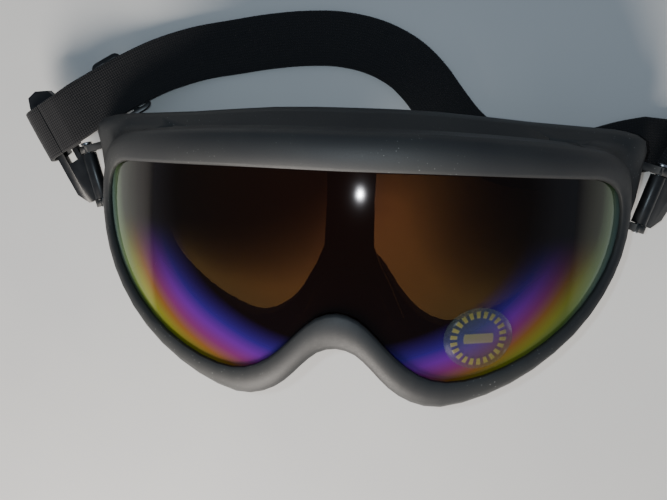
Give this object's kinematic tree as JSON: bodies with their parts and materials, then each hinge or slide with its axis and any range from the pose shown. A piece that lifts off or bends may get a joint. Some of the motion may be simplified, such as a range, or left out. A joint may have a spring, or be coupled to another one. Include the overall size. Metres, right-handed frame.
{
  "type": "sports protective goggles",
  "caption": "Wrap-around sports goggles with a curved mirrored lens, a vented frame, face foam, hinged strap brackets and an elastic head strap, lying on their back.",
  "frame": {"origin": "middle of the whole object's footprint, on the table the goggles lie on", "axes": "+X along the wearer's eyes, +Y towards the brow, +Z out of the lens"},
  "size_m": [0.2328, 0.1152, 0.0699],
  "materials": {
    "frame_plastic": "moulded matte charcoal",
    "bracket_plastic": "moulded satin black",
    "mirror_lens": "polished smoke polycarbonate with a thin mirror coating",
    "foam": "open-cell black polyurethane foam",
    "strap_webbing": "woven elastic webbing",
    "pin_steel": "plain steel pin",
    "clear_film": "clear vinyl film"
  },
  "bodies": {
    "goggles": {"frame_shell": "frame_plastic", "lens": "mirror_lens", "face_foam": "foam", "brow_vent_foam": "foam", "cheek_vent_foam_left": "foam", "cheek_vent_foam_right": "foam", "nose_brace": "frame_plastic", "hinge_pin_left": "pin_steel", "hinge_pin_right": "pin_steel", "strap_main": "strap_webbing", "lens_label": "clear_film"},
    "bracket_left": {"bracket_left": "bracket_plastic", "strap_turn_left": "strap_webbing", "strap_return_left": "strap_webbing"},
    "bracket_right": {"bracket_right": "bracket_plastic", "strap_turn_right": "strap_webbing", "strap_return_right": "strap_webbing"},
    "slider": {"strap_slider": "bracket_plastic"}
  },
  "joints": [
    {"name": "bracket_left_hinge", "type": "hinge", "parent": "goggles", "child": "bracket_left", "pos_m": [-0.09105, -0.00225, 0.0132], "axis": [-0.2756, 0.9613, 0], "range_deg": [-60, 25], "deforming": ["strap_main"]},
    {"name": "bracket_right_hinge", "type": "hinge", "parent": "goggles", "child": "bracket_right", "pos_m": [0.09355, -0.00225, 0.0132], "axis": [0.2756, 0.9613, 0], "range_deg": [-50, 35], "deforming": ["strap_main"]},
    {"name": "slider_slide", "type": "slide", "parent": "goggles", "child": "slider", "axis": [0.7674, 0.5363, -0.3514], "range_m": [0, 0.006]}
  ]
}
